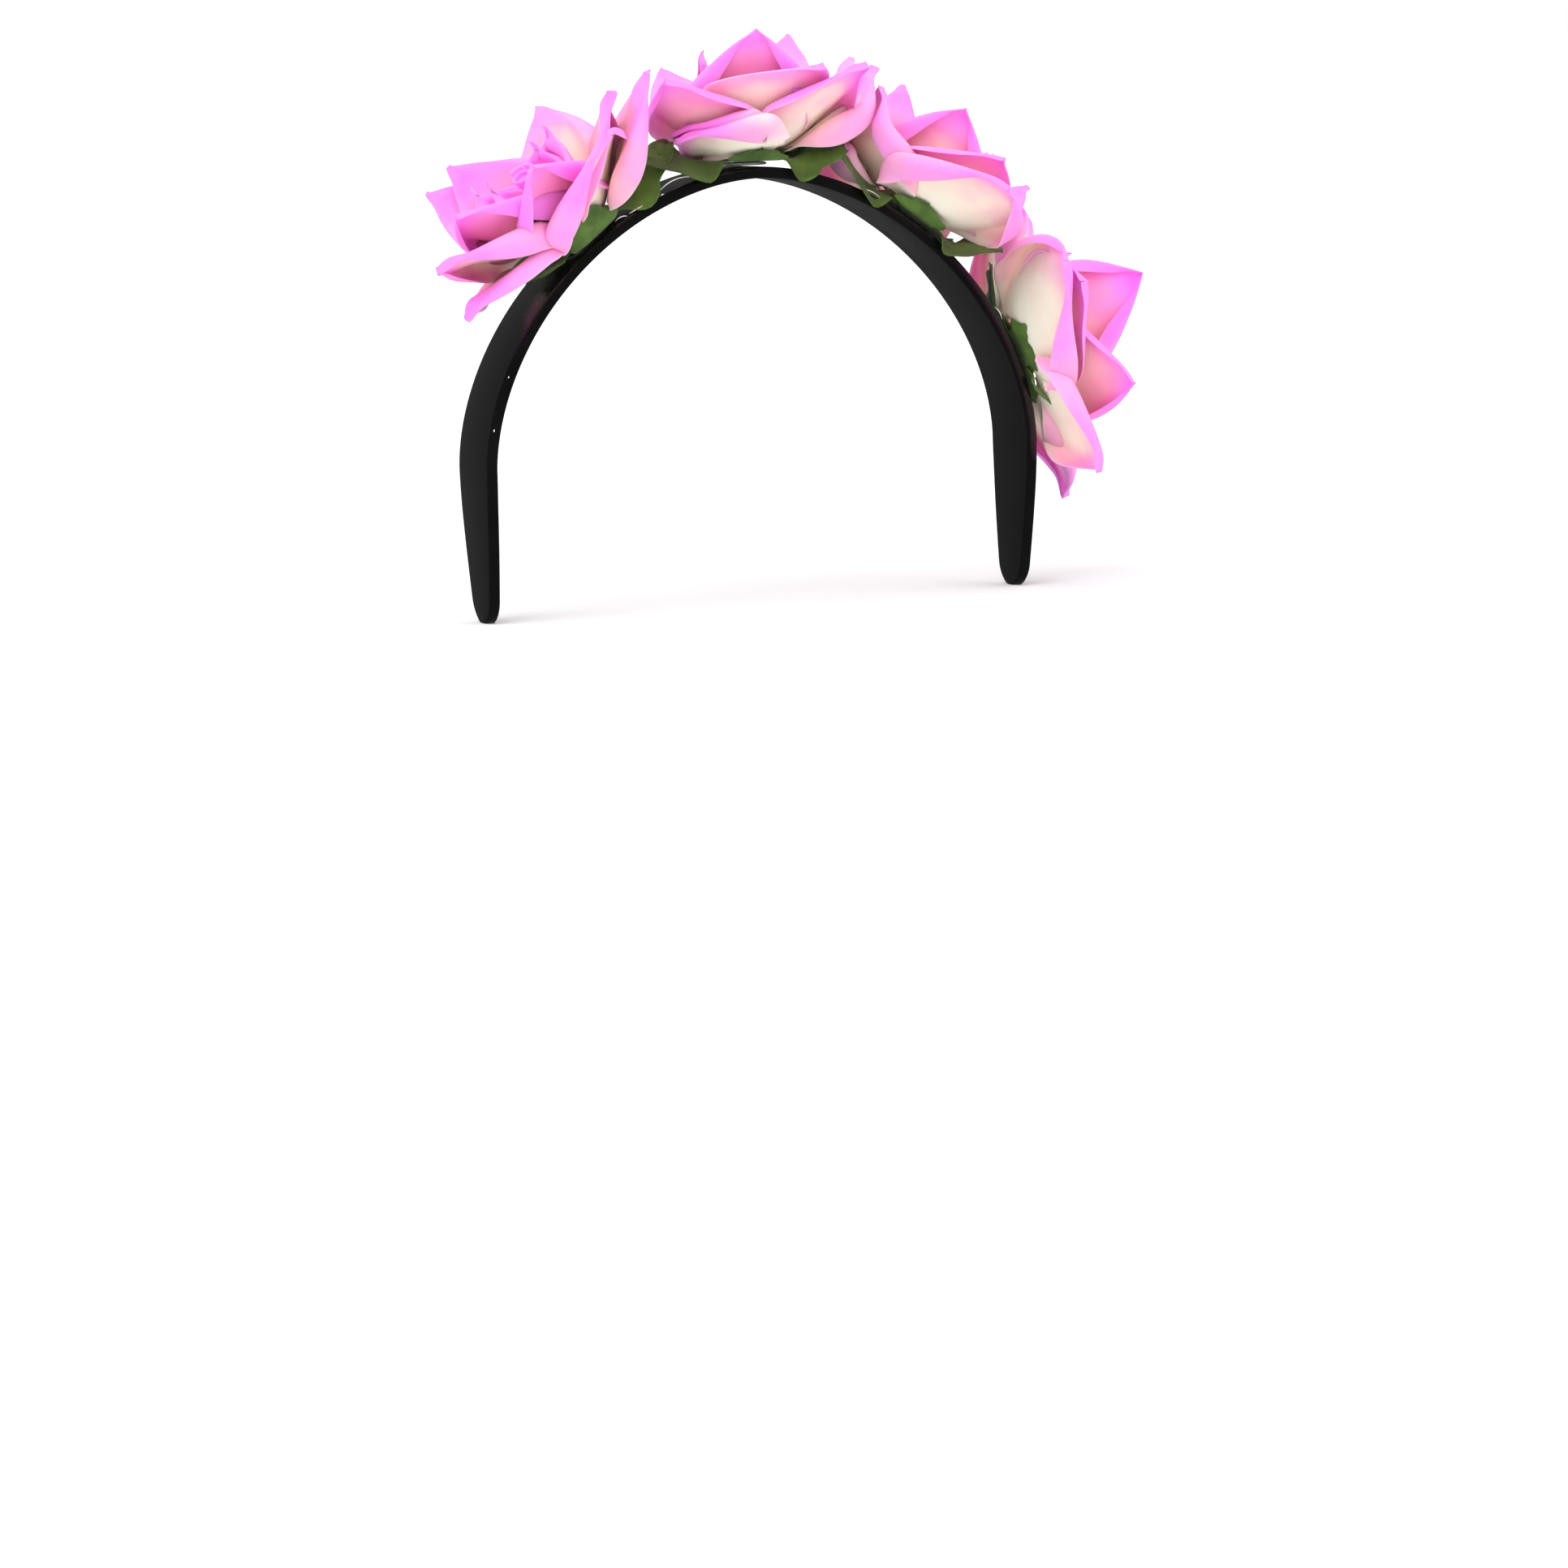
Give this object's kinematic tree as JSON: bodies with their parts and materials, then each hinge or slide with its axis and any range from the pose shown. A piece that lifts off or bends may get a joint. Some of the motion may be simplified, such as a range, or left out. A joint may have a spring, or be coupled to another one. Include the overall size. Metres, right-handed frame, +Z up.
{
  "type": "flower crown",
  "caption": "Headband crown: a curved plastic hair band with large open foam roses glued over its top and one side, each on a leafy fabric calyx",
  "frame": {"origin": "the middle of the band's inside top, where it rests on the head", "axes": "+X to the wearer's left, +Y to the back of the head, +Z up; the band lies in the XZ plane"},
  "size_m": [0.2101, 0.0916, 0.1547],
  "materials": {
    "band": "black moulded ABS, satin gloss",
    "petal": "thin soft foam sheet, ivory at the foot, dyed pink to orchid at the rim",
    "bud": "rolled foam sheet, deep pink",
    "calyx": "starched green woven fabric",
    "receptacle": "moulded green polyethylene",
    "glue": "clear hot-melt glue, milky"
  },
  "bodies": {
    "root": {"headband": "band", "left_rose_bud": "bud", "left_rose_calyx": "calyx", "left_rose_glue": "glue", "left_rose_petal_01": "petal", "left_rose_petal_02": "petal", "left_rose_petal_03": "petal", "left_rose_petal_04": "petal", "left_rose_petal_05": "petal", "left_rose_petal_06": "petal", "left_rose_petal_07": "petal", "left_rose_petal_08": "petal", "left_rose_petal_09": "petal", "left_rose_petal_10": "petal", "left_rose_receptacle": "receptacle", "low_left_rose_bud": "bud", "low_left_rose_calyx": "calyx", "low_left_rose_glue": "glue", "low_left_rose_petal_01": "petal", "low_left_rose_petal_02": "petal", "low_left_rose_petal_03": "petal", "low_left_rose_petal_04": "petal", "low_left_rose_petal_05": "petal", "low_left_rose_petal_06": "petal", "low_left_rose_petal_07": "petal", "low_left_rose_petal_08": "petal", "low_left_rose_petal_09": "petal", "low_left_rose_petal_10": "petal", "low_left_rose_receptacle": "receptacle", "right_rose_bud": "bud", "right_rose_calyx": "calyx", "right_rose_glue": "glue", "right_rose_petal_01": "petal", "right_rose_petal_02": "petal", "right_rose_petal_03": "petal", "right_rose_petal_04": "petal", "right_rose_petal_05": "petal", "right_rose_petal_06": "petal", "right_rose_petal_07": "petal", "right_rose_petal_08": "petal", "right_rose_petal_09": "petal", "right_rose_petal_10": "petal", "right_rose_receptacle": "receptacle", "top_rose_bud": "bud", "top_rose_calyx": "calyx", "top_rose_glue": "glue", "top_rose_petal_01": "petal", "top_rose_petal_02": "petal", "top_rose_petal_03": "petal", "top_rose_petal_04": "petal", "top_rose_petal_05": "petal", "top_rose_petal_06": "petal", "top_rose_petal_07": "petal", "top_rose_petal_08": "petal", "top_rose_petal_09": "petal", "top_rose_petal_10": "petal", "top_rose_receptacle": "receptacle"}
  },
  "joints": []
}
